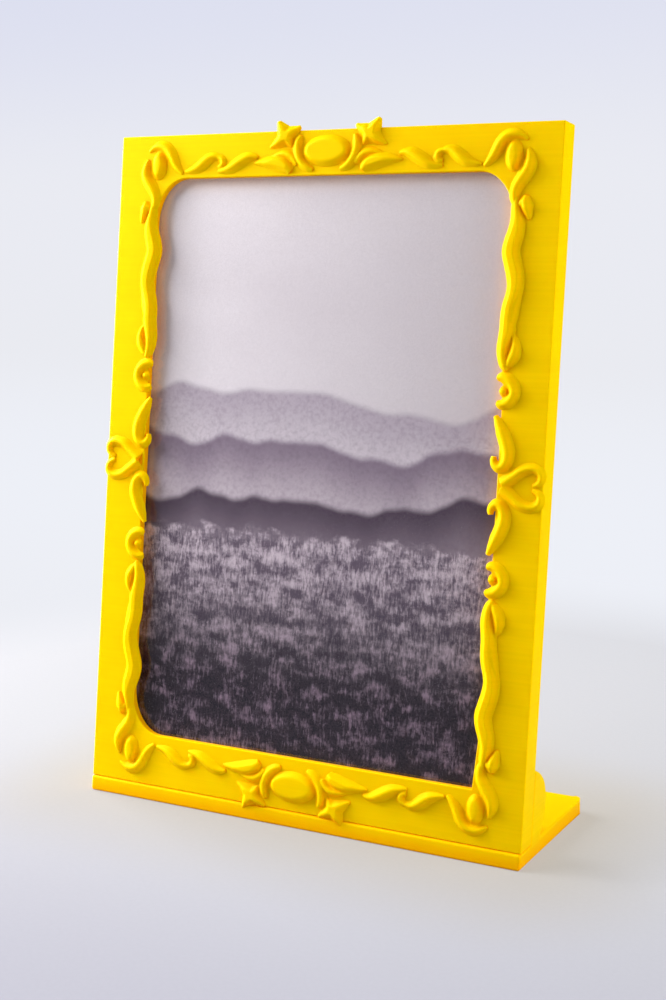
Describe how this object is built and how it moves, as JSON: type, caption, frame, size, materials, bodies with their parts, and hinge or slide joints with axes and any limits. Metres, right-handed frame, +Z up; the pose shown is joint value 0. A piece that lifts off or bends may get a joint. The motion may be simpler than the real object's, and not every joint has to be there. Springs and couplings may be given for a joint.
{
  "type": "photo frame",
  "caption": "Free-standing portrait photo frame: leaning ornamented front on a flat foot, with a print, cover and backing that slide out upwards.",
  "frame": {"origin": "middle of the underside of the foot plate, which stands on the table", "axes": "+X to the right as seen from the front, +Y to the rear, +Z up"},
  "size_m": [0.122, 0.0407, 0.1685],
  "materials": {
    "yellow_print": "saturated yellow printed plastic with fine level layer lines",
    "screw_steel": "plain zinc-plated steel",
    "clear_sheet": "clear glossy plastic sheet",
    "photo_paper": null,
    "grey_card": "plain grey card"
  },
  "bodies": {
    "frame": {"front_frame": "yellow_print", "stand": "yellow_print", "stand_screws": "screw_steel", "top_crest": "yellow_print", "bottom_crest": "yellow_print", "top_left_vine": "yellow_print", "top_right_vine": "yellow_print", "bottom_left_vine": "yellow_print", "bottom_right_vine": "yellow_print", "top_left_spray": "yellow_print", "top_right_spray": "yellow_print", "bottom_left_spray": "yellow_print", "bottom_right_spray": "yellow_print", "left_upper_scrolls": "yellow_print", "left_lower_scrolls": "yellow_print", "right_upper_scrolls": "yellow_print", "right_lower_scrolls": "yellow_print", "left_heart": "yellow_print", "right_heart": "yellow_print"},
    "insert": {"clear_cover": "clear_sheet", "photo_print": "photo_paper", "backing_card": "grey_card"},
    "panel": {"back_panel": "yellow_print"}
  },
  "joints": [
    {"name": "insert_slide", "type": "slide", "parent": "frame", "child": "insert", "axis": [0, 0.1668, 0.986], "range_m": [0, 0.15]},
    {"name": "panel_slide", "type": "slide", "parent": "frame", "child": "panel", "axis": [0, 0.1668, 0.986], "range_m": [0, 0.15]}
  ]
}
